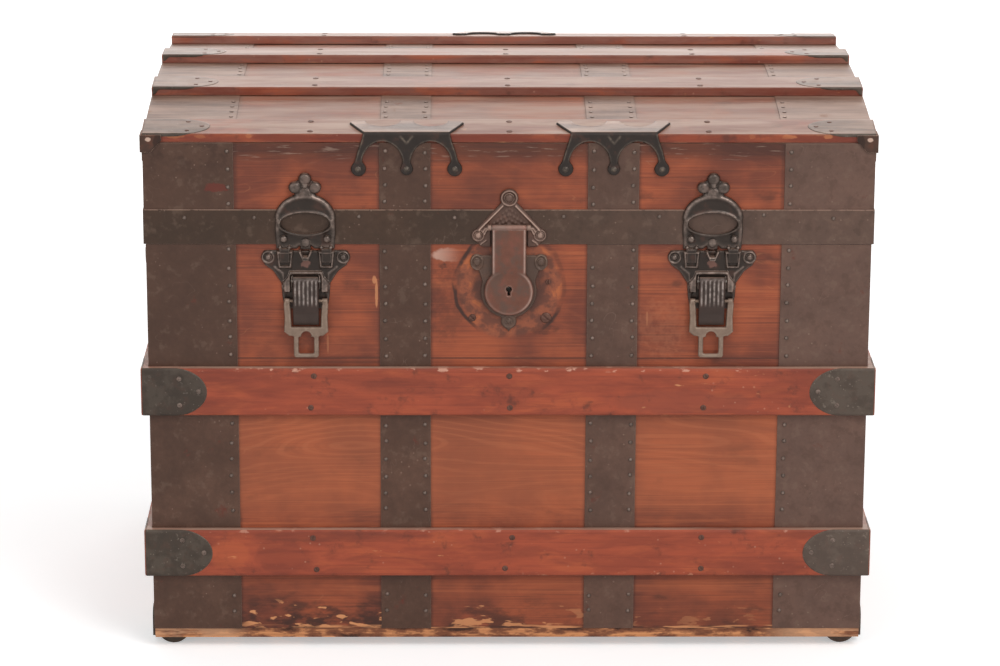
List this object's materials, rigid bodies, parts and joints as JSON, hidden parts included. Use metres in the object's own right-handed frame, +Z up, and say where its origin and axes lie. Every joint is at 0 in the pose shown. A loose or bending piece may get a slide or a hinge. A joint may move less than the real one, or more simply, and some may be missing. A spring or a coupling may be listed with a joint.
{
  "type": "travel trunk",
  "caption": "Antique slatted travel trunk with metal bands, low crowned hinged lid, draw latches, central hasp lock, lift-out tray and end handles.",
  "frame": {"origin": "on the ground under the middle of the trunk", "axes": "+X to the right along the front, -Y out of the front face with the lock, +Z up"},
  "size_m": [0.8506, 0.5586, 0.6278],
  "materials": {
    "stained_panel_wood": "red-brown stain, worn satin varnish",
    "raw_wood": "bare, dirty",
    "slat_wood": "red-brown stain, rubbed",
    "lining_paper": "aged printed paper",
    "brown_sheet_metal": "brown japanned, rusty",
    "black_hardware": "black japanned, worn edges",
    "cast_shoe": "rough",
    "handle_leather": "dry, dark",
    "tab_cloth": "webbing",
    "plain_steel": "dull"
  },
  "bodies": {
    "trunk": {"body_bottom_board": "raw_wood", "body_front_board": "stained_panel_wood", "body_back_board": "stained_panel_wood", "body_end_board_left": "stained_panel_wood", "body_end_board_right": "stained_panel_wood", "body_lining": "lining_paper", "bottom_runners": "raw_wood", "bottom_corner_shoes": "cast_shoe", "body_corner_plates_front": "brown_sheet_metal", "body_corner_plates_back": "brown_sheet_metal", "body_bands": "brown_sheet_metal", "body_front_slats": "slat_wood", "body_back_slats": "slat_wood", "body_end_slats": "slat_wood", "body_slat_clamps": "brown_sheet_metal", "handle_straps": "handle_leather", "handle_caps": "black_hardware", "hinge_body_leaves": "black_hardware", "hinge_pins": "plain_steel", "tray_cleats": "raw_wood", "latch_base_left": "black_hardware", "latch_base_right": "black_hardware", "latch_pins": "plain_steel", "lock_plate": "black_hardware", "lock_case": "plain_steel"},
    "lid": {"lid_front_board": "stained_panel_wood", "lid_back_board": "stained_panel_wood", "lid_end_board_right": "stained_panel_wood", "lid_end_board_left": "stained_panel_wood", "lid_top_panel": "stained_panel_wood", "lid_lining": "lining_paper", "lid_bands": "brown_sheet_metal", "lid_corner_plates": "brown_sheet_metal", "lid_end_covers": "brown_sheet_metal", "lid_rim_band": "brown_sheet_metal", "lid_slat_front": "slat_wood", "lid_slat_second": "slat_wood", "lid_slat_third": "slat_wood", "lid_slat_back": "slat_wood", "lid_slat_clamps": "brown_sheet_metal", "lid_corner_caps": "brown_sheet_metal", "lid_brackets": "black_hardware", "hinge_lid_leaves": "black_hardware", "latch_keeper_left": "black_hardware", "latch_keeper_right": "black_hardware", "hasp_plate": "black_hardware", "hasp_pin": "plain_steel"},
    "tray": {"tray_frame": "raw_wood", "tray_floor": "raw_wood", "tray_partition": "raw_wood", "tray_lift_tabs": "tab_cloth"},
    "hasp": {"hasp": "black_hardware"},
    "lock_bolt": {"lock_bolt": "plain_steel"},
    "latch_lever_left": {"latch_lever_left": "black_hardware"},
    "latch_lever_right": {"latch_lever_right": "black_hardware"},
    "latch_bail_left": {"latch_bail_left": "black_hardware"},
    "latch_bail_right": {"latch_bail_right": "black_hardware"}
  },
  "joints": [
    {"name": "lid_hinge", "type": "hinge", "parent": "trunk", "child": "lid", "pos_m": [0, 0.2727, 0.4822], "axis": [-1, 0, 0], "range_deg": [0, 105]},
    {"name": "hasp_hinge", "type": "hinge", "parent": "lid", "child": "hasp", "pos_m": [0, -0.2737, 0.503], "axis": [-1, 0, 0], "range_deg": [0, 150]},
    {"name": "tray_lift", "type": "slide", "parent": "trunk", "child": "tray", "axis": [0, 0, 1], "range_m": [0, 0.1]},
    {"name": "lock_bolt_slide", "type": "slide", "parent": "trunk", "child": "lock_bolt", "axis": [1, 0, 0], "range_m": [0, 0.008]},
    {"name": "latch_lever_left_hinge", "type": "hinge", "parent": "trunk", "child": "latch_lever_left", "pos_m": [-0.228, -0.2741, 0.441], "axis": [1, 0, 0], "range_deg": [-75, 0]},
    {"name": "latch_bail_left_hinge", "type": "hinge", "parent": "latch_lever_left", "child": "latch_bail_left", "pos_m": [-0.228, -0.2745, 0.418], "axis": [-1, 0, 0], "range_deg": [0, 178]},
    {"name": "latch_lever_right_hinge", "type": "hinge", "parent": "trunk", "child": "latch_lever_right", "pos_m": [0.228, -0.2741, 0.441], "axis": [1, 0, 0], "range_deg": [-75, 0]},
    {"name": "latch_bail_right_hinge", "type": "hinge", "parent": "latch_lever_right", "child": "latch_bail_right", "pos_m": [0.228, -0.2745, 0.418], "axis": [-1, 0, 0], "range_deg": [0, 178]}
  ]
}
